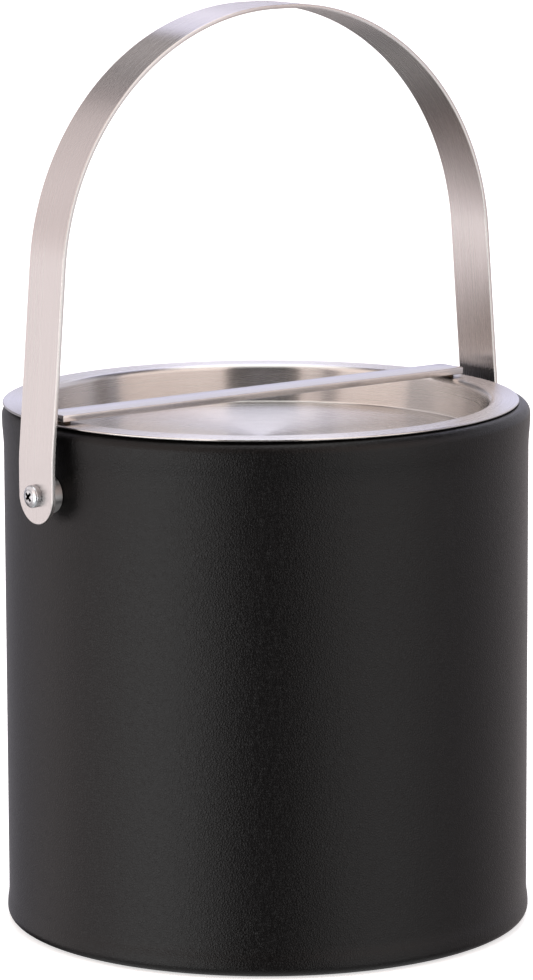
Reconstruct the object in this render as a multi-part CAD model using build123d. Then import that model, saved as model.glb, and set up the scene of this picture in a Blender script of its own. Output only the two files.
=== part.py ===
from build123d import *
import os
from math import atan2, cos, pi, radians, sin, tan

# Insulated ice bucket: a drum wrapped in leatherette with a moulded liner inside, a loose
# pressed-steel lid with a flat lifting bar, and a steel strip bail on two pivot screws.
# Millimetres. +Z is up and the origin is the centre of the foot, on the surface it stands on.
# The bail turns about a line along X, so "left" is -X and "right" is +X.

# ---- overall sizes --------------------------------------------------------------------------
BODY_DIAMETER = 190.0        # over the slightly fuller rims at top and foot
BODY_HEIGHT = 188.6          # to the crest of the wrapped rim
LID_TOP = 189.8              # upper face of the lid's flange
BAIL_TOP = 331.5             # crown of the upright bail
PIVOT_HEIGHT = 165.0         # bail screws above the foot

# ---- leatherette wrap and the drum it covers ------------------------------------------------
RIM_RADIUS = BODY_DIAMETER / 2
RIM_SWELL = 0.6              # the rims stand out from the plain wall by this much
WRAP = 1.0
FOOT_LIFT = 0.3              # the wrap clears the surface; the base pad takes the weight
TOP_ROUND = 3.8
FOOT_ROUND = 3.6
TOP_SWELL_LOW = 175.3        # heights between which the wall leans out to the top rim
TOP_SWELL_HIGH = 181.3
TOP_SWELL_EASE = 58.0
FOOT_SWELL_LOW = 6.0         # the same at the foot
FOOT_SWELL_HIGH = 9.5
FOOT_SWELL_EASE = 20.0
WRAP_LIP_RADIUS = 89.6       # where the wrap turns down inside the top rim
WRAP_LIP_INNER = 87.4        # edge of the wrap tucked under the liner's flange
WRAP_FOOT_INNER = 84.2       # edge of the wrap turned under the foot
SEAM = 0.3                   # butt joint of the wrap, down the back
DRUM_INNER = 91.6
TOP_HOOP_INNER = 87.3
TOP_HOOP_BOTTOM = 178.0
FOOT_HOOP_INNER = 88.6
FOOT_HOOP_TOP = 9.0

# ---- liner, insulation and base -------------------------------------------------------------
LINER_WALL = 1.8
LINER_MOUTH = 85.2           # inner radius where the lid's dish hangs
LINER_TOP = 189.0
LINER_MOUTH_ROUND = 2.0      # keeps clear of the bend under the lid's flange
LINER_FLANGE_RADIUS = 89.4
LINER_FLANGE = 2.2
LINER_STEP = (169.5, 173.7)  # heights between which the liner narrows below the lid
LINER_SHOULDER = 81.0        # inner radius just below the step
LINER_BOTTOM = 75.5          # inner radius at the floor, before the corner is rounded
LINER_FLOOR = 16.0
LINER_CORNER = 12.0
INNER_FIT = 0.1              # clearance around the pieces stacked inside the drum
FOAM = 4.0                   # insulating sheet wrapped round the liner
FOAM_SLEEVE_TOP = 159.0      # stops below the nuts of the pivot screws
FOAM_BASE_RADIUS = 74.0
BASE_PLATE = 3.0
BASE_PAD_RADIUS = 84.0

# ---- lid ------------------------------------------------------------------------------------
SHEET = 0.8
LID_RADIUS = 92.8
LID_SHIFT = (-1.8, 0.7)      # the loose lid lies a little to one side
DISH_MOUTH = 82.0            # inner face of the dish at the top
DISH_FLOOR = 80.9            # the same at the floor
DISH_DEPTH = 14.0
DISH_SHOULDER = 2.4
DISH_CORNER = 2.6
BAR_LENGTH = 180.8
BAR_WIDTH = 12.7
BAR_THICKNESS = 2.5
BAR_SHIFT = -1.0             # the welded bar sits off the lid's centre by this much
BAR_STANDOFF = 1.0
WELD_PAD_RADIUS = 2.4
WELD_PAD_PITCH = 86.7        # weld pads from the lid's centre

# ---- bail -----------------------------------------------------------------------------------
STRIP_WIDTH = 20.0
STRIP = 1.5
LEG_OUTER = 101.3            # outer face of the bail at the pivots
LEG_LEAN = 4.6               # degrees that each leg leans in above its pivot pad
PAD_HEIGHT = 10.0            # upright stretch of the leg above the screw
PAD_BEND = 60.0              # outer bend radius between the pad and the leg
ARCH_RADIUS = 93.7           # outer face of the two quarter arches

# ---- pivots: M4 pan-head screws through shouldered spacers ----------------------------------
BOSS_RADIUS = 2.8            # neck of the spacer, on which the bail turns
PIVOT_FIT = 0.06             # radial clearance of the bail on the neck
FACE_GAP = 0.05              # bail to spacer, and bail to lock washer
SPACER_RADIUS = 6.6
SPACER_SEAT = 94.2           # flat seat pressed into the wrapped wall
SPACER_CHAMFER = 0.3
SCREW_RADIUS = 2.0
SCREW_LENGTH = 18.0
BORE_RADIUS = 2.1            # plain holes that the screw passes through
THREAD_CHAMFER = 0.5
HEAD_RADIUS = 4.0
HEAD_HEIGHT = 2.4
HEAD_SIDE = 1.5              # height of the head's side, before its edge is rounded
HEAD_EDGE_ROUND = 1.0
HEAD_DOME = (1.8, 6.0)       # where the dome meets the flat crown, and how softly it bends
CROSS_SPAN = 4.2             # cross recess: span, width, depth and its width at the bottom
CROSS_WIDTH = 1.1
CROSS_DEPTH = 1.8
CROSS_TIP = 1.1
LOCK_WASHER = 0.8
LOCK_WASHER_RADIUS = 3.8
BLOCK_WIDTH = 26.0
BLOCK_HEIGHT = 24.0
BLOCK_INNER = 89.3           # inner face of the reinforcing block
FLAT_WASHER = 0.8
FLAT_WASHER_RADIUS = 4.5
NUT_ACROSS_FLATS = 7.0
NUT_HEIGHT = 3.2

SIDES = {"left": -1, "right": 1}


# ---- helpers --------------------------------------------------------------------------------
def eased_loop(corners):
    """Closed edges in the XZ plane through (x, z, round) corners, each eased by a tangent arc."""
    starts = []
    ends = []
    edges = []
    count = len(corners)
    for i, (x, z, ease) in enumerate(corners):
        before = corners[i - 1]
        after = corners[(i + 1) % count]
        back = Vector(before[0] - x, 0, before[1] - z).normalized()
        ahead = Vector(after[0] - x, 0, after[1] - z).normalized()
        corner = Vector(x, 0, z)
        if ease == 0:
            starts.append(corner)
            ends.append(corner)
            continue
        half = radians(back.get_angle(ahead)) / 2
        reach = ease / tan(half)
        middle = (back + ahead).normalized() * (ease / sin(half) - ease)
        starts.append(corner + back * reach)
        ends.append(corner + ahead * reach)
        edges.append(ThreePointArc(starts[i], corner + middle, ends[i]))
    for i in range(count):
        if (ends[i - 1] - starts[i]).length > 1e-6:
            edges.append(Line(ends[i - 1], starts[i]))
    return edges


def turned(corners):
    """Solid of revolution about Z of the section inside the eased corners."""
    return revolve(make_face(Wire(eased_loop(corners))), Axis.Z)


def disc(radius, low, high):
    return Pos(0, 0, low) * extrude(Circle(radius), high - low)


def rod(radius, inner, outer, side):
    """Cylinder on the pivot axis between two distances from the middle, on the given side."""
    face = Plane(origin=(side * inner, 0, PIVOT_HEIGHT), z_dir=(side, 0, 0)) * Circle(radius)
    return extrude(face, outer - inner)


def body_outside(inset):
    """Corners of the body's outer face, foot to crest, moved in by inset."""
    rim = RIM_RADIUS - inset
    wall = rim - RIM_SWELL
    return [
        (rim, FOOT_LIFT + inset, FOOT_ROUND - inset),
        (rim, FOOT_SWELL_LOW, FOOT_SWELL_EASE),
        (wall, FOOT_SWELL_HIGH, FOOT_SWELL_EASE),
        (wall, TOP_SWELL_LOW, TOP_SWELL_EASE),
        (rim, TOP_SWELL_HIGH, TOP_SWELL_EASE),
        (rim, BODY_HEIGHT - inset, TOP_ROUND - inset),
    ]


def liner_lean():
    return atan2(LINER_SHOULDER - LINER_BOTTOM, LINER_STEP[0] - LINER_FLOOR)


def liner_side(offset):
    """Corners of the liner's inner face, floor to mouth, moved out by offset."""
    lean = liner_lean()
    low = LINER_BOTTOM + offset * (1 / cos(lean) - tan(lean))
    turn = offset * tan(radians(45) / 2)
    return [
        (0, LINER_FLOOR - offset, 0),
        (low, LINER_FLOOR - offset, LINER_CORNER + offset),
        (LINER_SHOULDER + offset, LINER_STEP[0] - turn, 3.0 - offset * 0.9),
        (LINER_MOUTH + offset, LINER_STEP[1] - turn, 1.0 + offset),
    ]


# ---- body -----------------------------------------------------------------------------------
LIP_HEIGHT = LINER_TOP - LINER_FLANGE
REBATE = LIP_HEIGHT - WRAP
CREST_INNER = WRAP_LIP_RADIUS + WRAP


def vinyl_wrap():
    outside = body_outside(0)
    inside = body_outside(WRAP)[::-1]
    lip = [
        (WRAP_LIP_RADIUS, BODY_HEIGHT, 1.2),
        (WRAP_LIP_RADIUS, LIP_HEIGHT, 0),
        (WRAP_LIP_INNER, LIP_HEIGHT, 0),
        (WRAP_LIP_INNER, REBATE, 0),
        (CREST_INNER, REBATE, 0),
        (CREST_INNER, BODY_HEIGHT - WRAP, 0),
    ]
    hem = [(WRAP_FOOT_INNER, FOOT_LIFT + WRAP, 0), (WRAP_FOOT_INNER, FOOT_LIFT, 0)]
    wrap = turned(outside + lip + inside + hem)
    wrap -= Pos(0, RIM_RADIUS, BODY_HEIGHT / 2) * Box(SEAM, 4 * TOP_ROUND, BODY_HEIGHT - 8)
    for side in SIDES.values():
        wrap -= rod(BORE_RADIUS + 0.1, 80, 100, side)
        wrap -= rod(SPACER_RADIUS + 0.2, SPACER_SEAT, 100, side)
    return wrap


def outer_drum():
    """Rigid tube behind the wrap, thickened into a hoop at each end."""
    drum = turned(
        body_outside(WRAP)
        + [
            (CREST_INNER, BODY_HEIGHT - WRAP, 0),
            (CREST_INNER, REBATE, 0),
            (TOP_HOOP_INNER, REBATE, 0),
            (TOP_HOOP_INNER, TOP_HOOP_BOTTOM, 0),
            (DRUM_INNER, TOP_HOOP_BOTTOM, 0),
            (DRUM_INNER, FOOT_HOOP_TOP, 0),
            (FOOT_HOOP_INNER, FOOT_HOOP_TOP, 0),
            (FOOT_HOOP_INNER, FOOT_LIFT + WRAP, 0),
        ]
    )
    for side in SIDES.values():
        drum -= rod(BORE_RADIUS + 0.1, 80, 100, side)
    return drum


def base_plate():
    low = FOOT_LIFT + WRAP
    return disc(FOOT_HOOP_INNER - INNER_FIT, low, low + BASE_PLATE)


def base_pad():
    pad = disc(BASE_PAD_RADIUS, 0, FOOT_LIFT + WRAP)
    return fillet(pad.edges().group_by(Axis.Z)[0], 0.3)


def foam_base():
    """Thick foam disc between the base plate and the liner's floor."""
    low = FOOT_LIFT + WRAP + BASE_PLATE
    return disc(FOAM_BASE_RADIUS, low, LINER_FLOOR - LINER_WALL)


def foam_sleeve():
    """Foam sheet on the liner's tapered wall, with an air gap between it and the drum."""
    low = LINER_FLOOR + LINER_CORNER + LINER_WALL
    lean = tan(liner_lean())
    gap = (LINER_WALL + INNER_FIT) / cos(liner_lean())
    inner_low = LINER_BOTTOM + gap + (low - LINER_FLOOR) * lean
    inner_top = LINER_BOTTOM + gap + (FOAM_SLEEVE_TOP - LINER_FLOOR) * lean
    return turned(
        [
            (inner_low, low, 0),
            (inner_low + FOAM, low, 0),
            (inner_top + FOAM, FOAM_SLEEVE_TOP, 0),
            (inner_top, FOAM_SLEEVE_TOP, 0),
        ]
    )


def inner_liner():
    """Moulded tub whose flange sits in the drum's rebate and carries the lid."""
    inner = liner_side(0)
    outer = liner_side(LINER_WALL)
    return turned(
        inner
        + [
            (LINER_MOUTH, LINER_TOP, LINER_MOUTH_ROUND),
            (LINER_FLANGE_RADIUS, LINER_TOP, 0.5),
            (LINER_FLANGE_RADIUS, LIP_HEIGHT, 0),
            (LINER_MOUTH + LINER_WALL, LIP_HEIGHT, 0),
        ]
        + outer[::-1]
    )


# ---- lid, drawn about its own centre and then moved aside -----------------------------------
def lid_pan():
    under = LID_TOP - SHEET
    floor = LID_TOP - DISH_DEPTH
    pan = turned(
        [
            (0, floor, 0),
            (DISH_FLOOR, floor, DISH_CORNER - SHEET),
            (DISH_MOUTH, LID_TOP, DISH_SHOULDER),
            (LID_RADIUS, LID_TOP, 0.3),
            (LID_RADIUS, under, 0.3),
            (DISH_MOUTH + SHEET, under, DISH_SHOULDER - SHEET),
            (DISH_FLOOR + SHEET, floor - SHEET, DISH_CORNER),
            (0, floor - SHEET, 0),
        ]
    )
    return Pos(*LID_SHIFT, 0) * pan


def lid_bar():
    bar = Box(BAR_LENGTH, BAR_WIDTH, BAR_THICKNESS)
    bar = fillet(bar.edges().filter_by(Axis.Z), 0.5)
    bar = fillet(bar.edges(), 0.3)
    height = LID_TOP + BAR_STANDOFF + BAR_THICKNESS / 2
    return Pos(LID_SHIFT[0] + BAR_SHIFT, LID_SHIFT[1], height) * bar


def bar_weld_pad(side):
    x = LID_SHIFT[0] + side * WELD_PAD_PITCH
    return Pos(x, LID_SHIFT[1], 0) * disc(WELD_PAD_RADIUS, LID_TOP, LID_TOP + BAR_STANDOFF)


# ---- bail -----------------------------------------------------------------------------------
def bail_path(inset):
    """Edges of one face of the bent strip, foot to foot, moved in by inset."""
    lean = radians(LEG_LEAN)
    foot = PIVOT_HEIGHT - STRIP_WIDTH / 2
    pad_top = PIVOT_HEIGHT + PAD_HEIGHT
    bend = (LEG_OUTER - PAD_BEND, pad_top)
    arch_height = BAIL_TOP - ARCH_RADIUS
    joint = arch_height + ARCH_RADIUS * sin(lean)
    leg_low = (bend[0] + PAD_BEND * cos(lean), bend[1] + PAD_BEND * sin(lean))
    arch_x = leg_low[0] - (joint - leg_low[1]) * tan(lean) - ARCH_RADIUS * cos(lean)

    def on_arc(centre, radius, angle):
        return (centre[0] + radius * cos(angle), centre[1] + radius * sin(angle))

    small = PAD_BEND - inset
    large = ARCH_RADIUS - inset
    arch = (arch_x, arch_height)
    right = [
        ("line", (LEG_OUTER - inset, foot), (LEG_OUTER - inset, pad_top)),
        ("arc", on_arc(bend, small, 0), on_arc(bend, small, lean / 2), on_arc(bend, small, lean)),
        ("line", on_arc(bend, small, lean), on_arc(arch, large, lean)),
        (
            "arc",
            on_arc(arch, large, lean),
            on_arc(arch, large, (lean + pi / 2) / 2),
            on_arc(arch, large, pi / 2),
        ),
    ]
    edges = []
    for mirror in (1, -1):
        for kind, *points in right:
            placed = [(mirror * x, 0, z) for x, z in points]
            edges.append(Line(*placed) if kind == "line" else ThreePointArc(*placed))
    crown = BAIL_TOP - inset
    edges.append(Line((arch_x, 0, crown), (-arch_x, 0, crown)))
    return edges


def bail_handle():
    foot = PIVOT_HEIGHT - STRIP_WIDTH / 2
    ends = [
        Line((side * LEG_OUTER, 0, foot), (side * (LEG_OUTER - STRIP), 0, foot))
        for side in SIDES.values()
    ]
    face = make_face(Wire(bail_path(0) + bail_path(STRIP) + ends))
    bail = extrude(face, STRIP_WIDTH / 2, both=True)
    for side in SIDES.values():
        corner = Box(6, STRIP_WIDTH + 2, STRIP_WIDTH / 2 + 1)
        corner = Pos(side * (LEG_OUTER - STRIP / 2), 0, foot + STRIP_WIDTH / 4 - 0.5) * corner
        bail -= corner - rod(STRIP_WIDTH / 2, LEG_OUTER - 8, LEG_OUTER + 8, side)
        bail -= rod(BOSS_RADIUS + PIVOT_FIT, LEG_OUTER - 8, LEG_OUTER + 8, side)
    return bail


# ---- pivots ---------------------------------------------------------------------------------
LEG_INNER = LEG_OUTER - STRIP
BOSS_END = LEG_OUTER + FACE_GAP
HEAD_SEAT = BOSS_END + LOCK_WASHER


def pivot_spacer(side):
    spacer = rod(SPACER_RADIUS, SPACER_SEAT, LEG_INNER - FACE_GAP, side)
    spacer = chamfer(spacer.edges().filter_by(GeomType.CIRCLE), SPACER_CHAMFER)
    spacer += rod(BOSS_RADIUS, LEG_INNER - FACE_GAP - 1, BOSS_END, side)
    return spacer - rod(BORE_RADIUS, 80, 120, side)


def lock_washer(side):
    """Split ring, cut through on a slant."""
    washer = rod(LOCK_WASHER_RADIUS, BOSS_END, HEAD_SEAT, side)
    washer -= rod(BORE_RADIUS, 80, 120, side)
    middle = (side * (BOSS_END + LOCK_WASHER / 2), 0, PIVOT_HEIGHT)
    slit = Rot(0, 0, 30) * Box(4, 0.5, 2 * BORE_RADIUS + 2)
    around = Rot(side * 205, 0, 0) * Pos(0, 0, (BORE_RADIUS + LOCK_WASHER_RADIUS) / 2) * slit
    return washer - Pos(*middle) * around


def pivot_screw(side):
    """Pan-head screw with a cross recess, drawn along +Z and laid on the pivot axis."""
    screw = turned(
        [
            (0, 0, 0),
            (HEAD_RADIUS, 0, 0),
            (HEAD_RADIUS, HEAD_SIDE, HEAD_EDGE_ROUND),
            (HEAD_DOME[0], HEAD_HEIGHT, HEAD_DOME[1]),
            (0, HEAD_HEIGHT, 0),
        ]
    )
    screw += turned(
        [
            (0, -SCREW_LENGTH, 0),
            (SCREW_RADIUS - THREAD_CHAMFER, -SCREW_LENGTH, 0),
            (SCREW_RADIUS, -SCREW_LENGTH + THREAD_CHAMFER, 0),
            (SCREW_RADIUS, 0.5, 0),
            (0, 0.5, 0),
        ]
    )
    span = CROSS_SPAN / 2
    tip = CROSS_TIP / 2
    wing = Polygon((-span, 0), (span, 0), (tip, -CROSS_DEPTH), (-tip, -CROSS_DEPTH), align=None)
    for turn in (0, 90):
        blade = extrude(Plane.XZ * wing, CROSS_WIDTH / 2, both=True)
        screw -= Rot(0, 0, 45 + turn) * Pos(0, 0, HEAD_HEIGHT) * blade
    return Plane(origin=(side * HEAD_SEAT, 0, PIVOT_HEIGHT), z_dir=(side, 0, 0)) * screw


def pivot_block(side):
    """Reinforcing block, curved on its outer face to lie against the drum."""
    block = Box(20, BLOCK_WIDTH, BLOCK_HEIGHT)
    block = Pos(side * (BLOCK_INNER + 10), 0, PIVOT_HEIGHT) * block
    block = block & disc(DRUM_INNER, PIVOT_HEIGHT - 20, PIVOT_HEIGHT + 20)
    return block - rod(BORE_RADIUS + 0.1, 80, 100, side)


def flat_washer(side):
    washer = rod(FLAT_WASHER_RADIUS, BLOCK_INNER - FLAT_WASHER, BLOCK_INNER, side)
    return washer - rod(BORE_RADIUS, 80, 100, side)


def hex_nut(side):
    face = BLOCK_INNER - FLAT_WASHER
    plane = Plane(origin=(side * face, 0, PIVOT_HEIGHT), z_dir=(-side, 0, 0))
    nut = extrude(plane * RegularPolygon(NUT_ACROSS_FLATS / 2, 6, major_radius=False), NUT_HEIGHT)
    return nut - rod(SCREW_RADIUS + 0.02, 80, 100, side)


# ---- every piece, one file each -------------------------------------------------------------
pieces = {
    "vinyl_wrap": vinyl_wrap(),
    "outer_drum": outer_drum(),
    "base_plate": base_plate(),
    "base_pad": base_pad(),
    "foam_base": foam_base(),
    "foam_sleeve": foam_sleeve(),
    "inner_liner": inner_liner(),
    "lid_pan": lid_pan(),
    "lid_bar": lid_bar(),
    "bail_handle": bail_handle(),
}
for name, side in SIDES.items():
    pieces[f"bar_weld_pad_{name}"] = bar_weld_pad(side)
    pieces[f"pivot_screw_{name}"] = pivot_screw(side)
    pieces[f"lock_washer_{name}"] = lock_washer(side)
    pieces[f"pivot_spacer_{name}"] = pivot_spacer(side)
    pieces[f"pivot_block_{name}"] = pivot_block(side)
    pieces[f"flat_washer_{name}"] = flat_washer(side)
    pieces[f"hex_nut_{name}"] = hex_nut(side)

os.makedirs("parts", exist_ok=True)
for node, shape in pieces.items():
    export_step(shape, f"parts/{node}.step")
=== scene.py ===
import bpy
import bmesh
from math import acos, atan2, cos, pi, radians, sin, tan
from mathutils import Matrix, Vector


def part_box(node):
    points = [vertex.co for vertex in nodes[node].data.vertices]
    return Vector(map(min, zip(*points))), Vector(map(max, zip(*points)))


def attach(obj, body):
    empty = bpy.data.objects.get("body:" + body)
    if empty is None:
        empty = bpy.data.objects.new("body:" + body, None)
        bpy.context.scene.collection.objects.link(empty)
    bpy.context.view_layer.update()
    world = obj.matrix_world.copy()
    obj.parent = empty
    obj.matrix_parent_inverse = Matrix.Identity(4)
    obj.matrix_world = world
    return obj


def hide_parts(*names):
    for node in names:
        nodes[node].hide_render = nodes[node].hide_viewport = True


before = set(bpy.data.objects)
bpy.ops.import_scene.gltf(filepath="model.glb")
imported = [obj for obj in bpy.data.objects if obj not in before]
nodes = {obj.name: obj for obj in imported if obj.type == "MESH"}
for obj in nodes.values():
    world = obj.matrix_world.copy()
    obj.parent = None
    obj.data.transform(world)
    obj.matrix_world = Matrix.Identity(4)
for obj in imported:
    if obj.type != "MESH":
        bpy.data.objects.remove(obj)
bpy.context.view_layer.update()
MM = 0.001

# ---- dimensions in millimetres, as in the CAD model -----------------------------------------
# body and wrap
BODY_RADIUS = 95.0           # over the slightly fuller rims at top and foot
BODY_TOP = 188.6             # crest of the wrapped rim
RIM_SWELL = 0.6              # the rims stand out from the plain wall by this much
WRAP = 1.0
FOOT_LIFT = 0.3              # the wrap clears the surface; the pad takes the weight
TOP_ROUND = 3.8
FOOT_ROUND = 3.6
TOP_SWELL = (175.3, 181.3)   # heights between which the wall leans out to the top rim
TOP_SWELL_EASE = 58.0
FOOT_SWELL = (6.0, 9.5)      # the same at the foot
FOOT_SWELL_EASE = 20.0
LIP_RADIUS = 89.6            # where the wrap turns down inside the top rim
LIP_INNER = 87.4             # edge of the wrap tucked under the liner's flange
LIP_ROUND = 1.2
HEM_INNER = 84.2             # edge of the wrap turned under the foot
HEM_ROUND = 0.3
SEAM = 0.3                   # butt joint of the wrap, down the back
PAD_RADIUS = 84.0
PAD_LOW_EDGE = 0.35          # how far the pad's edges are rounded
PAD_HIGH_EDGE = 0.2

# liner
LINER_WALL = 1.8
LINER_MOUTH = 85.2           # inner radius where the lid's dish hangs
LINER_MOUTH_ROUND = 2.0
LINER_TOP = 189.0
LINER_FLANGE = 2.2
LINER_FLANGE_RADIUS = 89.4
LINER_STEP = (169.5, 173.7)  # heights between which the liner narrows below the lid
LINER_SHOULDER = 81.0        # inner radius just below the step
LINER_BOTTOM = 75.5          # inner radius at the floor, before the corner is rounded
LINER_FLOOR = 16.0
LINER_CORNER = 12.0
LIP_HEIGHT = LINER_TOP - LINER_FLANGE

# lid
SHEET = 0.8
LID_TOP = 189.8              # upper face of the flange
LID_RADIUS = 92.8
LID_EDGE = 0.39              # rounding of the flange's rim
LID_CENTRE = (-1.8, 0.7)     # the loose lid lies a little to one side
DISH_MOUTH = 82.0            # inner face of the dish at the top
DISH_FLOOR = 80.9            # the same at the floor
DISH_DEPTH = 14.0
DISH_SHOULDER = 2.4
DISH_INNER_CORNER = 0.8      # tighter than in the CAD, for a finer line of light
DISH_OUTER_CORNER = 2.6
BAR_EDGE = 0.3               # rounding of the bar's edges

# bail and screws
PIVOT_HEIGHT = 165.0
LEG_OUTER = 101.3            # outer face of the bail at the pivots
LEG_LEAN = 4.6               # degrees that each leg leans in above its pivot pad
PAD_HEIGHT = 10.0            # upright stretch of the leg above the screw
PAD_BEND = 60.0              # outer bend radius between the pad and the leg
ARCH_RADIUS = 93.7           # outer face of the two quarter arches
BAIL_TOP = 331.5             # crown of the upright bail
STRIP = 1.5
STRIP_HALF = 10.0            # half the strip's width
STRIP_EDGE = 0.22            # rounding of the strip's edges
HOLE = 2.86                  # radius of the hole in each end
STRIP_MIDDLE = 50.0          # where the strip's centre line lies across its own texture
SCREW_CROWN = 104.55         # outermost point of a screw head, from the middle


# ---- meshes ---------------------------------------------------------------------------------
def link(name, mesh):
    piece = bpy.data.objects.new(name, mesh)
    bpy.context.scene.collection.objects.link(piece)
    return piece


def mesh_from(name, points, faces, sharp=32):
    mesh = bpy.data.meshes.new(name)
    mesh.from_pydata([tuple(c * MM for c in p) for p in points], [], faces)
    mesh.validate()
    mesh.update()
    mesh.shade_smooth()
    mesh.set_sharp_from_angle(angle=radians(sharp))
    return mesh


def eased(corners, step=8.0, closed=True):
    """Points along (r, z, round) corners, each rounded corner as an arc of small steps."""
    points = []
    count = len(corners)
    for i, (x, z, ease) in enumerate(corners):
        at_end = not closed and i in (0, count - 1)
        if ease == 0 or at_end:
            points.append((x, z))
            continue
        corner = Vector((x, z))
        back = (Vector(corners[i - 1][:2]) - corner).normalized()
        ahead = (Vector(corners[(i + 1) % count][:2]) - corner).normalized()
        half = acos(max(-1, min(1, back.dot(ahead)))) / 2
        reach = ease / tan(half)
        centre = corner + (back + ahead).normalized() * (ease / sin(half))
        start = corner + back * reach - centre
        end = corner + ahead * reach - centre
        turn = atan2(start.x * end.y - start.y * end.x, start.dot(end))
        steps = max(2, int(abs(turn) / radians(step)) + 1)
        for k in range(steps + 1):
            a = turn * k / steps
            points.append(
                (
                    centre.x + start.x * cos(a) - start.y * sin(a),
                    centre.y + start.x * sin(a) + start.y * cos(a),
                )
            )
    return points


def divided(points, longest, closed=True):
    """The same chain with long runs split into shorter ones."""
    out = []
    count = len(points)
    for i in range(count if closed else count - 1):
        a = Vector(points[i])
        b = Vector(points[(i + 1) % count])
        pieces = max(1, int((b - a).length / longest))
        for k in range(pieces):
            out.append(tuple(a.lerp(b, k / pieces)))
    if not closed:
        out.append(points[-1])
    return out


def lathe(name, points, around=256, centre=(0, 0), closed=True, gap=0.0, middle=0.0):
    """Turns a section about the vertical axis; a gap in millimetres leaves a slit at angle middle."""
    rows = []
    verts = []
    faces = []
    count = len(points)
    slit = gap > 0
    columns = around + 1 if slit else around
    for r, z in points:
        if r < 1e-6:
            rows.append([len(verts)] * columns)
            verts.append((centre[0], centre[1], z))
            continue
        row = []
        for k in range(columns):
            if slit:
                half = gap / 2 / r
                a = middle + half + (2 * pi - 2 * half) * k / around
            else:
                a = 2 * pi * k / around
            row.append(len(verts))
            verts.append((centre[0] + r * cos(a), centre[1] + r * sin(a), z))
        rows.append(row)
    for i in range(count if closed else count - 1):
        a = rows[i]
        b = rows[(i + 1) % count]
        for k in range(around):
            m = k + 1 if slit else (k + 1) % around
            quad = [a[k], a[m], b[m], b[k]]
            face = [v for j, v in enumerate(quad) if v != quad[j - 1]]
            if len(face) > 2:
                faces.append(face)
    if slit and closed:
        faces.append([row[0] for row in rows])
        faces.append([row[-1] for row in rows][::-1])
    mesh = mesh_from(name, verts, faces)
    fix_normals(mesh)
    return link(name, mesh)


def fix_normals(mesh):
    bm = bmesh.new()
    bm.from_mesh(mesh)
    bmesh.ops.recalc_face_normals(bm, faces=bm.faces)
    bm.to_mesh(mesh)
    bm.free()


# ---- node materials -------------------------------------------------------------------------
class Nodes:
    """Small helper that adds nodes to a material and links them."""

    def __init__(self, name):
        self.material = bpy.data.materials.new(name)
        self.material.use_nodes = True
        self.tree = self.material.node_tree
        self.shader = self.tree.nodes["Principled BSDF"]

    def add(self, kind, **settings):
        node = self.tree.nodes.new(kind)
        for key, value in settings.items():
            setattr(node, key, value)
        return node

    def link(self, a, b):
        self.tree.links.new(a, b)

    def math(self, operation, a, b=None):
        node = self.add("ShaderNodeMath", operation=operation)
        for i, value in enumerate((a, b)):
            if value is None:
                continue
            if isinstance(value, (int, float)):
                node.inputs[i].default_value = value
            else:
                self.link(value, node.inputs[i])
        return node.outputs[0]

    def object_coords(self):
        return self.add("ShaderNodeTexCoord").outputs["Object"]

    def noise(self, vector, scale, detail=2.0, rough=0.5):
        node = self.add("ShaderNodeTexNoise")
        self.link(vector, node.inputs["Vector"])
        node.inputs["Scale"].default_value = scale
        node.inputs["Detail"].default_value = detail
        node.inputs["Roughness"].default_value = rough
        return node.outputs["Fac"]

    def scaled(self, vector, x, y, z):
        node = self.add("ShaderNodeVectorMath", operation="MULTIPLY")
        self.link(vector, node.inputs[0])
        node.inputs[1].default_value = (x, y, z)
        return node.outputs[0]

    def ramp(self, value, low, high, a, b):
        node = self.add("ShaderNodeMapRange")
        self.link(value, node.inputs["Value"])
        node.inputs["From Min"].default_value = low
        node.inputs["From Max"].default_value = high
        node.inputs["To Min"].default_value = a
        node.inputs["To Max"].default_value = b
        return node.outputs["Result"]

    def tint(self, value, low, high, dark, light):
        node = self.add("ShaderNodeValToRGB")
        self.link(value, node.inputs["Fac"])
        node.color_ramp.elements[0].position = low
        node.color_ramp.elements[0].color = (*dark, 1)
        node.color_ramp.elements[1].position = high
        node.color_ramp.elements[1].color = (*light, 1)
        return node.outputs["Color"]

    def blend(self, share, a, colour):
        node = self.add("ShaderNodeMix", data_type="RGBA")
        self.link(share, node.inputs["Factor"])
        self.link(a, node.inputs["A"])
        node.inputs["B"].default_value = (*colour, 1)
        return node.outputs["Result"]

    def bump(self, height, strength, distance, normal=None):
        node = self.add("ShaderNodeBump")
        node.inputs["Strength"].default_value = strength
        node.inputs["Distance"].default_value = distance
        self.link(height, node.inputs["Height"])
        if normal is not None:
            self.link(normal, node.inputs["Normal"])
        return node.outputs["Normal"]

    def set(self, **values):
        for key, value in values.items():
            self.shader.inputs[key.replace("_", " ")].default_value = value


def around_axis(n, centre, per_metre, along):
    """Coordinates that run fast across rings about a vertical axis and slowly round them."""
    moved = n.add("ShaderNodeVectorMath", operation="SUBTRACT")
    n.link(n.object_coords(), moved.inputs[0])
    moved.inputs[1].default_value = (centre[0] * MM, centre[1] * MM, 0)
    split = n.add("ShaderNodeSeparateXYZ")
    n.link(moved.outputs[0], split.inputs[0])
    x, y, z = split.outputs
    radius = n.math("SQRT", n.math("ADD", n.math("MULTIPLY", x, x), n.math("MULTIPLY", y, y)))
    safe = n.math("MAXIMUM", radius, 0.001)
    join = n.add("ShaderNodeCombineXYZ")
    across = n.math("ADD", n.math("MULTIPLY", radius, per_metre), n.math("MULTIPLY", z, per_metre))
    n.link(across, join.inputs[0])
    n.link(n.math("MULTIPLY", n.math("DIVIDE", x, safe), along), join.inputs[1])
    n.link(n.math("MULTIPLY", n.math("DIVIDE", y, safe), along), join.inputs[2])
    return join.outputs[0]


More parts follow.
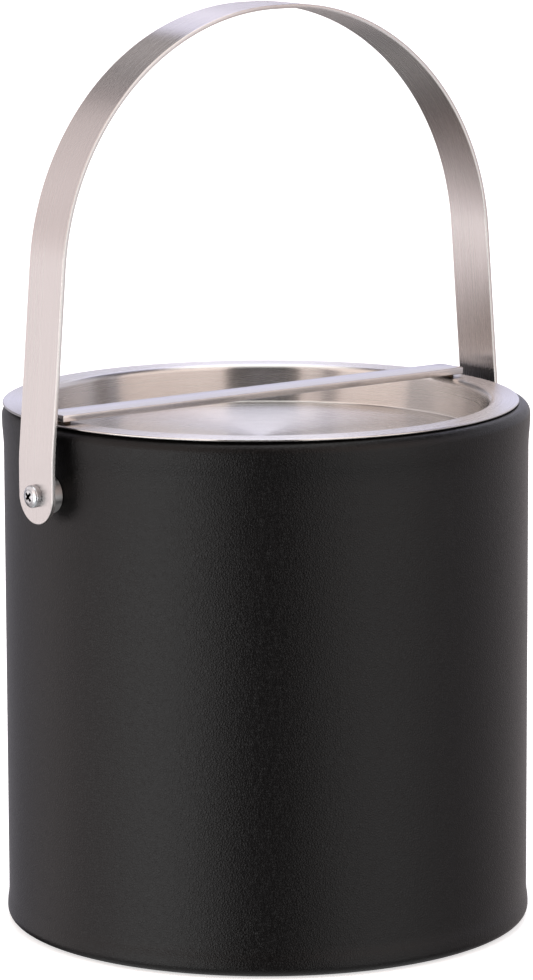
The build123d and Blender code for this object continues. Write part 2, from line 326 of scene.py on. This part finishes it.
def brushed_steel(
    n, colour, rough, aniso, tangent, fine, rotation=0.25, depth=1.0, shade=0.80, painted_highlight=None
):
    """Brushed steel: fine parallel lines in colour, roughness and height; an optional mask blends in a
    painted highlight.
    """
    line = n.noise(fine, 1.0, 3.0, 0.65)
    broad = n.noise(n.scaled(fine, 0.13, 0.6, 0.6), 1.0, 2.0, 0.5)
    both = n.math("ADD", n.math("MULTIPLY", line, 0.7), n.math("MULTIPLY", broad, 0.3))
    dark = tuple(c * shade for c in colour)
    light = tuple(min(1, c * (1 + (1 - shade) / 3)) for c in colour)
    tone = n.tint(both, 0.3, 0.7, dark, light)
    if painted_highlight is not None:
        # painted highlight: near white blended into the colour where the mask is set
        tone = n.blend(painted_highlight, tone, (0.95, 0.94, 0.92))
    n.link(tone, n.shader.inputs["Base Color"])
    n.link(n.ramp(both, 0.3, 0.7, rough + 0.05, rough - 0.04), n.shader.inputs["Roughness"])
    n.link(n.bump(line, 0.12 * depth, 0.00004), n.shader.inputs["Normal"])
    n.set(Metallic=1.0, Anisotropic=aniso, Anisotropic_Rotation=rotation)
    n.link(tangent, n.shader.inputs["Tangent"])
    return n.material


def lid_steel():
    """Brushed in rings round the lid's own centre."""
    n = Nodes("lid_steel")
    fine = around_axis(n, LID_CENTRE, 5200, 2.2)
    tangent = n.add("ShaderNodeTangent", direction_type="RADIAL", axis="Z").outputs[0]
    return brushed_steel(n, (0.60, 0.58, 0.56), 0.25, 1.0, tangent, fine, depth=0.3, shade=0.9)


def strip_steel():
    """Brushed along the strip, with a painted highlight along its two long edges."""
    n = Nodes("bail_steel")
    uv = n.add("ShaderNodeUVMap", uv_map="strip").outputs[0]
    fine = n.scaled(uv, 9, 4200, 0)
    tangent = n.add("ShaderNodeTangent", direction_type="UV_MAP", uv_map="strip").outputs[0]
    split = n.add("ShaderNodeSeparateXYZ")
    n.link(uv, split.inputs[0])
    across = n.math("ABSOLUTE", n.math("SUBTRACT", split.outputs[1], STRIP_MIDDLE * MM))
    wobble = n.math("MULTIPLY", n.noise(n.scaled(uv, 60, 0, 0), 1.0, 2.0), 0.4 * MM)
    edge = STRIP_HALF * MM
    # painted highlight: a narrow band along each long edge of the strip
    edge_highlight = n.ramp(n.math("ADD", across, wobble), edge - 0.3 * MM, edge, 0.0, 0.2)
    colour = (0.56, 0.53, 0.52)
    return brushed_steel(n, colour, 0.25, 1.0, tangent, fine, depth=0.4, shade=0.92, painted_highlight=edge_highlight)


def bar_steel():
    """Brushed along the bar."""
    n = Nodes("bar_steel")
    fine = n.scaled(n.object_coords(), 9, 4200, 4200)
    tangent = n.add("ShaderNodeTangent", direction_type="RADIAL", axis="X").outputs[0]
    return brushed_steel(n, (0.62, 0.60, 0.59), 0.2, 0.6, tangent, fine, rotation=0.0)


def shaded_weld_steel():
    """Steel darkened as painted shade, for the pads that sit under the bar's ends; brown and straw as
    a heat tint from welding.
    """
    n = Nodes("shaded_weld_steel")
    heat = n.noise(n.object_coords(), 700, 3.0, 0.6)
    # dark brown colours: painted shade under the bar's ends, tinted as heat tint
    tone = n.tint(heat, 0.35, 0.7, (0.09, 0.06, 0.045), (0.26, 0.19, 0.13))
    n.link(tone, n.shader.inputs["Base Color"])
    n.link(n.ramp(heat, 0.3, 0.7, 0.6, 0.45), n.shader.inputs["Roughness"])
    n.link(n.bump(heat, 0.3, 0.0001), n.shader.inputs["Normal"])
    n.set(Metallic=1.0)
    return n.material


def zinc_steel(name, painted_recess_shade=False):
    """Zinc-plated steel; the screws' cross recess is darkened in colour as painted shade."""
    n = Nodes(name)
    at = n.object_coords()
    grain = n.noise(at, 900, 3.0, 0.6)
    tone = n.tint(grain, 0.3, 0.75, (0.50, 0.52, 0.54), (0.70, 0.71, 0.72))
    if painted_recess_shade:
        split = n.add("ShaderNodeSeparateXYZ")
        n.link(at, split.inputs[0])
        x, y, z = split.outputs
        up = n.math("SUBTRACT", z, PIVOT_HEIGHT * MM)
        out = n.math("SQRT", n.math("ADD", n.math("MULTIPLY", y, y), n.math("MULTIPLY", up, up)))
        near = n.ramp(out, 2.4 * MM, 2.8 * MM, 1.0, 0.0)
        crown = SCREW_CROWN * MM
        deep = n.ramp(n.math("ABSOLUTE", x), crown - 0.4 * MM, crown - 0.2 * MM, 1.0, 0.0)
        # painted shade: near black blended into the cross recess
        tone = n.blend(n.math("MULTIPLY", near, deep), tone, (0.03, 0.03, 0.03))
    n.link(tone, n.shader.inputs["Base Color"])
    n.link(n.ramp(grain, 0.3, 0.7, 0.34, 0.24), n.shader.inputs["Roughness"])
    n.link(n.bump(grain, 0.15, 0.00005), n.shader.inputs["Normal"])
    n.set(Metallic=1.0)
    return n.material


def turned_steel():
    """Turned on a lathe about X: fine rings round the axis spread the light along it."""
    n = Nodes("spacer_steel")
    rings = n.scaled(n.object_coords(), 6000, 30, 30)
    round_axis = n.add("ShaderNodeVectorMath", operation="CROSS_PRODUCT")
    n.link(n.add("ShaderNodeNewGeometry").outputs["Normal"], round_axis.inputs[0])
    round_axis.inputs[1].default_value = (1, 0, 0)
    tangent = round_axis.outputs[0]
    return brushed_steel(n, (0.66, 0.65, 0.64), 0.36, 0.95, tangent, rings, depth=0.5)


def leatherette():
    """Fine pebbled grain: small cells with creases between them over soft larger waves."""
    n = Nodes("leatherette")
    at = n.object_coords()
    bend = n.noise(at, 700, 2.0, 0.5)
    cells = n.add("ShaderNodeTexVoronoi", feature="DISTANCE_TO_EDGE")
    cells.inputs["Scale"].default_value = 1150
    warp = n.add("ShaderNodeVectorMath", operation="SCALE")
    colour = n.add("ShaderNodeTexNoise")
    n.link(at, colour.inputs["Vector"])
    colour.inputs["Scale"].default_value = 500
    n.link(colour.outputs["Color"], warp.inputs[0])
    warp.inputs["Scale"].default_value = 0.0012
    shifted = n.add("ShaderNodeVectorMath", operation="ADD")
    n.link(at, shifted.inputs[0])
    n.link(warp.outputs[0], shifted.inputs[1])
    n.link(shifted.outputs[0], cells.inputs["Vector"])
    pebble = n.ramp(cells.outputs["Distance"], 0.0, 0.35, 0.0, 1.0)
    waves = n.noise(at, 60, 3.0, 0.5)
    shade = n.math("ADD", n.math("MULTIPLY", pebble, 0.6), n.math("MULTIPLY", bend, 0.4))
    tone = n.tint(shade, 0.1, 0.8, (0.0018, 0.0017, 0.0017), (0.0038, 0.0036, 0.0036))
    n.link(tone, n.shader.inputs["Base Color"])
    n.link(n.ramp(shade, 0.1, 0.8, 0.36, 0.28), n.shader.inputs["Roughness"])
    first = n.bump(waves, 0.05, 0.0008)
    second = n.bump(pebble, 0.5, 0.0001, first)
    n.link(n.bump(bend, 0.35, 0.0001, second), n.shader.inputs["Normal"])
    n.set(Specular_IOR_Level=0.22)
    return n.material


def plain_plastic(name, dark, light, rough, grain_scale, depth):
    n = Nodes(name)
    grain = n.noise(n.object_coords(), grain_scale, 3.0, 0.6)
    n.link(n.tint(grain, 0.3, 0.7, dark, light), n.shader.inputs["Base Color"])
    n.link(n.ramp(grain, 0.3, 0.7, rough + 0.05, rough - 0.05), n.shader.inputs["Roughness"])
    n.link(n.bump(grain, depth, 0.0001), n.shader.inputs["Normal"])
    return n.material


# ---- pieces ---------------------------------------------------------------------------------
def body_outside(inset):
    """Corners of the body's outer face, foot to crest, moved in by inset."""
    rim = BODY_RADIUS - inset
    wall = rim - RIM_SWELL
    return [
        (rim, FOOT_LIFT + inset, FOOT_ROUND - inset),
        (rim, FOOT_SWELL[0], FOOT_SWELL_EASE),
        (wall, FOOT_SWELL[1], FOOT_SWELL_EASE),
        (wall, TOP_SWELL[0], TOP_SWELL_EASE),
        (rim, TOP_SWELL[1], TOP_SWELL_EASE),
        (rim, BODY_TOP - inset, TOP_ROUND - inset),
    ]


def make_wrap():
    outside = body_outside(0)
    inside = body_outside(WRAP)[::-1]
    lip = [
        (LIP_RADIUS, BODY_TOP, LIP_ROUND),
        (LIP_RADIUS, LIP_HEIGHT, 0),
        (LIP_INNER, LIP_HEIGHT, 0),
        (LIP_INNER, LIP_HEIGHT - WRAP, 0),
        (LIP_RADIUS + WRAP, LIP_HEIGHT - WRAP, 0),
        (LIP_RADIUS + WRAP, BODY_TOP - WRAP, 0),
    ]
    hem = [(HEM_INNER, FOOT_LIFT + WRAP, 0), (HEM_INNER, FOOT_LIFT, HEM_ROUND)]
    points = divided(eased(outside + lip + inside + hem, 4.0), 12)
    wrap = lathe("leatherette_wrap", points, 384, gap=SEAM, middle=pi / 2)
    wrap.data.materials.append(leatherette())
    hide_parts("vinyl_wrap")
    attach(wrap, "bucket")


def make_pad():
    top = FOOT_LIFT + WRAP
    section = [(0, 0, 0), (PAD_RADIUS, 0, PAD_LOW_EDGE), (PAD_RADIUS, top, PAD_HIGH_EDGE), (0, top, 0)]
    pad = lathe("base_pad_disc", divided(eased(section, 20), 10), 192)
    dark, light = (0.018, 0.018, 0.018), (0.035, 0.035, 0.034)
    pad.data.materials.append(plain_plastic("foot_pad", dark, light, 0.8, 1500, 0.5))
    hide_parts("base_pad")
    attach(pad, "bucket")


def liner_side(offset):
    """Corners of the liner's inner face, floor to mouth, moved out by offset."""
    lean = atan2(LINER_SHOULDER - LINER_BOTTOM, LINER_STEP[0] - LINER_FLOOR)
    low = LINER_BOTTOM + offset * (1 / cos(lean) - tan(lean))
    turn = offset * tan(radians(45) / 2)
    return [
        (0, LINER_FLOOR - offset, 0),
        (low, LINER_FLOOR - offset, LINER_CORNER + offset),
        (LINER_SHOULDER + offset, LINER_STEP[0] - turn, 3.0 - offset * 0.9),
        (LINER_MOUTH + offset, LINER_STEP[1] - turn, 1.0 + offset),
    ]


def make_liner():
    inner = liner_side(0)
    outer = liner_side(LINER_WALL)[::-1]
    flange = [
        (LINER_MOUTH, LINER_TOP, LINER_MOUTH_ROUND),
        (LINER_FLANGE_RADIUS, LINER_TOP, 0.5),
        (LINER_FLANGE_RADIUS, LIP_HEIGHT, 0),
        (LINER_MOUTH + LINER_WALL, LIP_HEIGHT, 0),
    ]
    liner = lathe("liner_tub", divided(eased(inner + flange + outer, 6), 10), 256)
    dark, light = (0.012, 0.012, 0.012), (0.02, 0.02, 0.02)
    liner.data.materials.append(plain_plastic("liner_plastic", dark, light, 0.3, 260, 0.08))
    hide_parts("inner_liner")
    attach(liner, "bucket")


def make_lid():
    under = LID_TOP - SHEET
    floor = LID_TOP - DISH_DEPTH
    section = [
        (0, floor, 0),
        (DISH_FLOOR, floor, DISH_INNER_CORNER),
        (DISH_MOUTH, LID_TOP, DISH_SHOULDER),
        (LID_RADIUS, LID_TOP, LID_EDGE),
        (LID_RADIUS, under, LID_EDGE),
        (DISH_MOUTH + SHEET, under, DISH_SHOULDER - SHEET),
        (DISH_FLOOR + SHEET, floor - SHEET, DISH_OUTER_CORNER),
        (0, floor - SHEET, 0),
    ]
    pan = lathe("lid_dish", divided(eased(section, 6), 6), 320, LID_CENTRE)
    pan.data.materials.append(lid_steel())
    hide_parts("lid_pan")
    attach(pan, "lid")


def rounded_bar(name, low, high, edge):
    """Bar between two corners in metres, with eased edges."""
    mesh = bpy.data.meshes.new(name)
    bm = bmesh.new()
    bmesh.ops.create_cube(bm, size=1.0)
    for v in bm.verts:
        v.co = Vector([(low[i] + high[i]) / 2 + v.co[i] * (high[i] - low[i]) for i in range(3)])
    bmesh.ops.bevel(bm, geom=bm.edges[:], offset=edge, segments=4, profile=0.5, affect="EDGES")
    cuts = 24
    for k in range(1, cuts):
        x = low[0] + (high[0] - low[0]) * k / cuts
        whole = bm.verts[:] + bm.edges[:] + bm.faces[:]
        bmesh.ops.bisect_plane(bm, geom=whole, plane_co=(x, 0, 0), plane_no=(1, 0, 0))
    bm.to_mesh(mesh)
    bm.free()
    mesh.shade_smooth()
    mesh.set_sharp_from_angle(angle=radians(40))
    return link(name, mesh)


def make_bar():
    low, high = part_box("lid_bar")
    bar = rounded_bar("lid_bar_strip", low, high, BAR_EDGE * MM)
    bar.data.materials.append(bar_steel())
    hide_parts("lid_bar")
    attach(bar, "lid")
    weld = shaded_weld_steel()
    for side in ("left", "right"):
        give(f"bar_weld_pad_{side}", weld)


def bail_point(s):
    """Point and outward normal of the bail's outer face s millimetres from its right foot, and
    the length of the whole strip."""
    lean = radians(LEG_LEAN)
    bend = PAD_BEND
    arch = ARCH_RADIUS
    foot = PIVOT_HEIGHT - STRIP_HALF
    pad_top = PIVOT_HEIGHT + PAD_HEIGHT
    arch_height = BAIL_TOP - arch
    low = (LEG_OUTER - bend + bend * cos(lean), pad_top + bend * sin(lean))
    leg = (arch_height + arch * sin(lean) - low[1]) / cos(lean)
    arch_x = low[0] - leg * sin(lean) - arch * cos(lean)
    lengths = [pad_top - foot, bend * lean, leg, arch * (pi / 2 - lean), arch_x]
    half = sum(lengths)
    if s > half:
        x, z, nx, nz = bail_point(2 * half - s)[:4]
        return -x, z, -nx, nz, 2 * half
    if s <= lengths[0]:
        return LEG_OUTER, foot + s, 1.0, 0.0, 2 * half
    s -= lengths[0]
    if s <= lengths[1]:
        a = s / bend
        return LEG_OUTER - bend + bend * cos(a), pad_top + bend * sin(a), cos(a), sin(a), 2 * half
    s -= lengths[1]
    if s <= lengths[2]:
        return low[0] - s * sin(lean), low[1] + s * cos(lean), cos(lean), sin(lean), 2 * half
    s -= lengths[2]
    if s <= lengths[3]:
        a = lean + s / arch
        return arch_x + arch * cos(a), arch_height + arch * sin(a), cos(a), sin(a), 2 * half
    s -= lengths[3]
    return arch_x - s, BAIL_TOP, 0.0, 1.0, 2 * half


def bail_pattern(total):
    """Flat pattern of the strip as (s, y) points and quads, with a hole near each end."""
    half_rows = [STRIP_HALF * part for part in (0.25, 0.5, 0.68, 0.85, 0.95, 0.98, 1.0)]
    ys = [-y for y in half_rows[::-1]] + [0.0] + half_rows
    points = []
    faces = []

    def grid(rows):
        for a, b in zip(rows, rows[1:]):
            for k in range(len(a) - 1):
                faces.append((a[k], a[k + 1], b[k + 1], b[k]))

    def pad_end(centre, sign):
        half = STRIP_HALF
        side = [half * k / 5 * sign for k in range(5)]
        turns = [pi * k / 24 for k in range(1, 24)]
        rim = [(half * sign, y) for y in ys]
        rim += [(s, half) for s in side[::-1]]
        rim += [(-half * sin(a) * sign, half * cos(a)) for a in turns]
        rim += [(s, -half) for s in side]
        rings = []
        for part in (0.0, 0.03, 0.08, 0.2, 0.4, 0.62, 0.82, 0.94, 0.975, 1.0):
            ring = []
            for s, y in rim:
                a = atan2(y, s)
                inner = Vector((HOLE * cos(a), HOLE * sin(a)))
                at = inner.lerp(Vector((s, y)), part)
                ring.append(len(points))
                points.append((centre + at.x, at.y))
            rings.append(ring)
        for a, b in zip(rings, rings[1:]):
            for k in range(len(a)):
                m = (k + 1) % len(a)
                faces.append((a[k], a[m], b[m], b[k]))
        return rings[-1][: len(ys)]

    first = pad_end(STRIP_HALF, 1)
    last = pad_end(total - STRIP_HALF, -1)
    rows = [first]
    start = 2 * STRIP_HALF
    run = total - 2 * start
    steps = 200
    for k in range(1, steps):
        row = []
        for y in ys:
            row.append(len(points))
            points.append((start + run * k / steps, y))
        rows.append(row)
    rows.append(last)
    grid(rows)
    return points, faces


def make_bail():
    """Cuts the strip flat, gives it thickness and eased edges, then bends it to shape."""
    total = bail_point(0)[4]
    flat, quads = bail_pattern(total)
    mesh = bpy.data.meshes.new("bail_strip")
    bm = bmesh.new()
    verts = [bm.verts.new((s, y, 0)) for s, y in flat]
    for quad in quads:
        bm.faces.new([verts[i] for i in quad])
    bmesh.ops.recalc_face_normals(bm, faces=bm.faces)
    if bm.faces[0].normal.z < 0:
        bmesh.ops.reverse_faces(bm, faces=bm.faces)
    top = bm.faces[:]
    out = bmesh.ops.extrude_face_region(bm, geom=top)
    moved = [g for g in out["geom"] if isinstance(g, bmesh.types.BMVert)]
    for v in moved:
        v.co.z = STRIP
    bmesh.ops.recalc_face_normals(bm, faces=bm.faces)
    bm.edges.ensure_lookup_table()
    sharp = [e for e in bm.edges if len(e.link_faces) == 2 and e.calc_face_angle() > 1.0]
    round_edges = dict(offset=STRIP_EDGE, segments=3, profile=0.5, affect="EDGES", clamp_overlap=True)
    bmesh.ops.bevel(bm, geom=sharp, **round_edges)
    uv = bm.loops.layers.uv.new("strip")
    for face in bm.faces:
        for loop in face.loops:
            loop[uv].uv = (loop.vert.co.x * MM, (loop.vert.co.y + STRIP_MIDDLE) * MM)
    for v in bm.verts:
        s, y, t = v.co
        x, z, nx, nz, _ = bail_point(min(max(s, 0.0), total))
        depth = STRIP - t
        v.co = Vector(((x - nx * depth) * MM, y * MM, (z - nz * depth) * MM))
    bmesh.ops.recalc_face_normals(bm, faces=bm.faces)
    bm.to_mesh(mesh)
    bm.free()
    mesh.shade_smooth()
    mesh.set_sharp_from_angle(angle=radians(50))
    bail = link("bail_strip", mesh)
    bail.data.materials.append(strip_steel())
    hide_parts("bail_handle")
    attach(bail, "handle")


def give(node, material):
    """A CAD node that stays gets a better material."""
    piece = nodes[node]
    if not piece.material_slots:
        piece.data.materials.append(material)
    for slot in piece.material_slots:
        slot.material = material


make_wrap()
make_pad()
make_liner()
make_lid()
make_bar()
make_bail()
zinc = zinc_steel("zinc_steel")
screw = zinc_steel("screw_steel", painted_recess_shade=True)
turned = turned_steel()
drum = plain_plastic("drum_plastic", (0.03, 0.03, 0.03), (0.06, 0.06, 0.06), 0.5, 300, 0.1)
foam = plain_plastic("foam", (0.72, 0.72, 0.7), (0.9, 0.9, 0.88), 0.9, 900, 0.6)
for side in ("left", "right"):
    give(f"pivot_screw_{side}", screw)
    give(f"lock_washer_{side}", zinc)
    give(f"flat_washer_{side}", zinc)
    give(f"hex_nut_{side}", zinc)
    give(f"pivot_spacer_{side}", turned)
    give(f"pivot_block_{side}", drum)
for node in ("outer_drum", "base_plate"):
    give(node, drum)
for node in ("foam_base", "foam_sleeve"):
    give(node, foam)


# ---- camera ---------------------------------------------------------------------------------
CAMERA_AT = (-1.0659, -1.3892, 0.46276)  # in metres


def make_camera():
    """Looks past +Y towards +X by turn and down by pitch; roll tips it about its own line of sight."""
    turn = radians(37.5)
    pitch = 0.1734
    roll = -0.0037
    right = Vector((cos(turn), -sin(turn), 0))
    ahead = Vector((sin(turn) * cos(pitch), cos(turn) * cos(pitch), -sin(pitch)))
    up = right.cross(ahead)
    rolled = right + up * roll
    upward = up - right * roll
    data = bpy.data.cameras.new("camera")
    data.lens = 180.96
    data.sensor_width = 36.0
    data.clip_end = 100
    camera = bpy.data.objects.new("camera", data)
    basis = Matrix((rolled.normalized(), upward.normalized(), -ahead)).transposed()
    camera.matrix_world = Matrix.Translation(CAMERA_AT) @ basis.to_4x4()
    bpy.context.scene.collection.objects.link(camera)
    bpy.context.scene.camera = camera


# ---- floor, light ---------------------------------------------------------------------------
def make_floor():
    mesh = bpy.data.meshes.new("floor")
    size = 40
    z = -0.05 * MM  # just clear of the pad, so that the two faces never coincide
    corners = [(-size, -size, z), (size, -size, z), (size, size, z), (-size, size, z)]
    mesh.from_pydata(corners, [], [(0, 1, 2, 3)])
    floor = link("floor", mesh)
    n = Nodes("floor")
    n.set(Base_Color=(0.8, 0.8, 0.8, 1), Roughness=0.9, Specular_IOR_Level=0.1)
    n.set(Emission_Color=(1, 1, 1, 1), Emission_Strength=0.6)
    floor.data.materials.append(n.material)
    floor.visible_glossy = False


# Tints of the light.
WHITE = (1.0, 1.0, 1.0)
ROSE = (1.06, 0.97, 0.97)
WARM = (1.13, 0.96, 0.90)
VIOLET = (0.99, 0.96, 1.05)
COOL = (0.93, 0.94, 1.19)
BLUE = (0.0, 0.13, 1.0)

# Soft panels all round the bucket. Turns run from +Y towards +X and elevations up from the horizon,
# in degrees: from, to, soft edge, lowest, soft edge, highest, soft edge; then strength and tint.
PANELS = {
    "front_left_low": (-122, -72, 2, -34, 40, 4, 10, 2.8, WHITE),
    "front_left_high": (-122, -60, 2, 4, 16, 62, 16, 1.4, WARM),
    "left_low": (-72, -20, 12, -34, 40, 6, 12, 1.3, ROSE),
    "left_high": (-60, -12, 10, 6, 12, 52, 12, 1.05, ROSE),
    "arch_gap": (-12, 20, 8, 16, 10, 68, 10, 0.25, ROSE),
    "front_right_low": (145, 199, 2, -32, 40, 2, 10, 1.6, WHITE),
    "front_right_high": (138, 199, 2, 2, 16, 60, 16, 1.5, WARM),
    "right_low": (28, 145, 6, -32, 40, -2, 8, 0.52, ROSE),
    "right_high": (28, 138, 10, -2, 15, 38, 15, 0.9, VIOLET),
    "back_high": (20, 66, 8, 34, 8, 68, 8, 2.1, COOL),
    "back_low": (28, 52, 8, -2, 6, 12, 6, 0.15, BLUE),
    "back_gap": (-20, 28, 6, -20, 10, 16, 10, 0.46, VIOLET),
    "top": (-180, 180, 0, 66, 8, 90, 0, 2.4, WHITE),
    "under": (-180, 180, 0, -90, 0, -46, 16, 0.74, WHITE),
}
AMBIENT = (0.03, 0.025, 0.03)
BACKDROP = (1.0, 1.0, 1.0)


class Sky:
    """Adds up the panels by direction in the world's node tree."""

    def __init__(self):
        self.world = bpy.data.worlds.new("studio")
        bpy.context.scene.world = self.world
        self.world.use_nodes = True
        self.tree = self.world.node_tree
        split = self.tree.nodes.new("ShaderNodeSeparateXYZ")
        way = self.tree.nodes.new("ShaderNodeTexCoord").outputs["Generated"]
        self.tree.links.new(way, split.inputs[0])
        self.x, self.y, self.z = split.outputs
        square = self.along(self.x, self.y)
        self.level = self.math("MAXIMUM", self.math("SQRT", square, 0), 0.0001)

    def math(self, operation, a, b):
        node = self.tree.nodes.new("ShaderNodeMath")
        node.operation = operation
        self.feed(node, 0, a)
        self.feed(node, 1, b)
        return node.outputs[0]

    def feed(self, node, socket, value):
        if isinstance(value, bpy.types.NodeSocket):
            self.tree.links.new(value, node.inputs[socket])
        else:
            node.inputs[socket].default_value = value

    def vector(self, operation, a, b):
        node = self.tree.nodes.new("ShaderNodeVectorMath")
        node.operation = operation
        self.feed(node, 0, a)
        self.feed(node, "Scale" if operation == "SCALE" else 1, b)
        return node.outputs[0]

    def along(self, x, y):
        """How far the direction reaches along the level vector (x, y), times its length."""
        return self.math("ADD", self.math("MULTIPLY", self.x, x), self.math("MULTIPLY", self.y, y))

    def step(self, value, edge, soft, curve):
        """Rises from 0 to 1 over the soft edge; curve turns degrees into the value's own scale."""
        node = self.tree.nodes.new("ShaderNodeMapRange")
        node.interpolation_type = "SMOOTHSTEP"
        ends = sorted((curve(radians(edge - soft / 2)), curve(radians(edge + soft / 2))))
        self.feed(node, "Value", value)
        self.feed(node, "From Min", ends[0])
        self.feed(node, "From Max", ends[1])
        return node.outputs["Result"]

    def panel(self, start, end, side_soft, low, low_soft, high, high_soft):
        """1 inside the panel and 0 outside it; a panel that goes all the way has no edge there."""
        middle = (start + end) / 2
        half = (end - start) / 2
        mask = 1
        if low > -90:
            mask = self.math("MULTIPLY", mask, self.step(self.z, low, low_soft, sin))
        if high < 90:
            above = self.step(self.z, high, high_soft, sin)
            mask = self.math("MULTIPLY", mask, self.math("SUBTRACT", 1, above))
        if half < 180:
            a = radians(middle)
            facing = self.math("DIVIDE", self.along(sin(a), cos(a)), self.level)
            mask = self.math("MULTIPLY", mask, self.step(facing, half, side_soft, cos))
        return mask


def make_world():
    """The panels light and reflect; the camera itself sees a plain pale backdrop."""
    sky = Sky()
    light = None
    for *shape, strength, tint in PANELS.values():
        colour = tuple(strength * c for c in tint)
        glow = sky.vector("SCALE", colour, sky.panel(*shape))
        light = sky.vector("ADD", light or AMBIENT, glow)
    path = sky.tree.nodes.new("ShaderNodeLightPath")
    seen = sky.tree.nodes.new("ShaderNodeMix")
    seen.data_type = "RGBA"
    sky.tree.links.new(path.outputs["Is Camera Ray"], seen.inputs["Factor"])
    sky.tree.links.new(light, seen.inputs["A"])
    seen.inputs["B"].default_value = (*BACKDROP, 1)
    sky.tree.links.new(seen.outputs["Result"], sky.tree.nodes["Background"].inputs["Color"])


make_camera()
make_floor()
make_world()
scene = bpy.context.scene
scene.view_settings.view_transform = "Standard"
